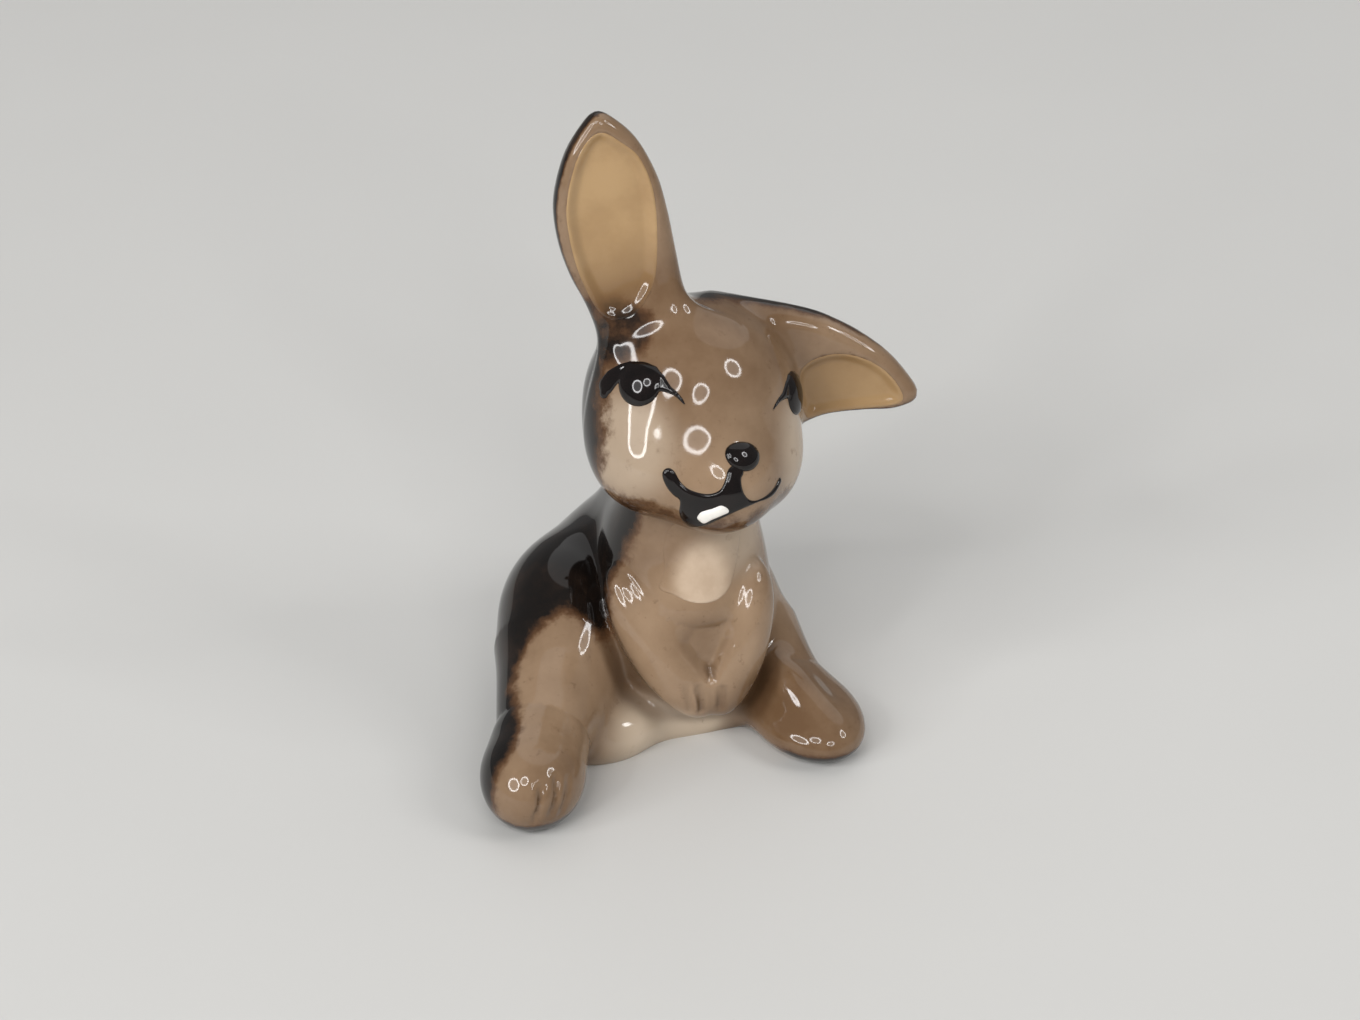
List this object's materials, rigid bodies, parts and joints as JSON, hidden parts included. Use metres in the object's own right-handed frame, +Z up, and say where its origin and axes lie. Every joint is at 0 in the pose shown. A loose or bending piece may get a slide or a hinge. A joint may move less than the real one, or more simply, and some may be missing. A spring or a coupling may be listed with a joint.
{
  "type": "ceramic rabbit figurine",
  "caption": "Small glazed ceramic rabbit ornament, sitting with its hind legs splayed forward, one ear upright and the other drooping, on a flat unglazed foot.",
  "frame": {"origin": "on the flat foot under the body, below the middle of the chest and rump", "axes": "+Z up, the rabbit faces -Y, its right side is at -X"},
  "size_m": [0.0305, 0.0299, 0.0434],
  "materials": {
    "brown_glaze": "glossy tan-brown glaze, near-black on the back and pale on the cheeks",
    "ear_glaze": "glossy warm tan glaze",
    "black_enamel": "glossy black overglaze paint",
    "white_enamel": "glossy white overglaze paint",
    "cream_glaze": "glossy pale cream glaze",
    "luting_slip": "matt fired slip inside the seams"
  },
  "bodies": {
    "root": {"torso": "brown_glaze", "head": "brown_glaze", "upright_ear": "brown_glaze", "drooping_ear": "brown_glaze", "right_hind_leg": "brown_glaze", "left_hind_leg": "brown_glaze", "right_foreleg": "brown_glaze", "left_foreleg": "brown_glaze", "tail": "brown_glaze", "upright_ear_lining": "ear_glaze", "drooping_ear_lining": "ear_glaze", "right_eye": "black_enamel", "left_eye": "black_enamel", "nose": "black_enamel", "mouth": "black_enamel", "tooth": "white_enamel", "chest_bib": "cream_glaze", "neck_slip": "luting_slip", "upright_ear_slip": "luting_slip", "drooping_ear_slip": "luting_slip", "right_hind_leg_slip": "luting_slip", "left_hind_leg_slip": "luting_slip", "right_foreleg_slip": "luting_slip", "left_foreleg_slip": "luting_slip", "tail_slip": "luting_slip"}
  },
  "joints": []
}
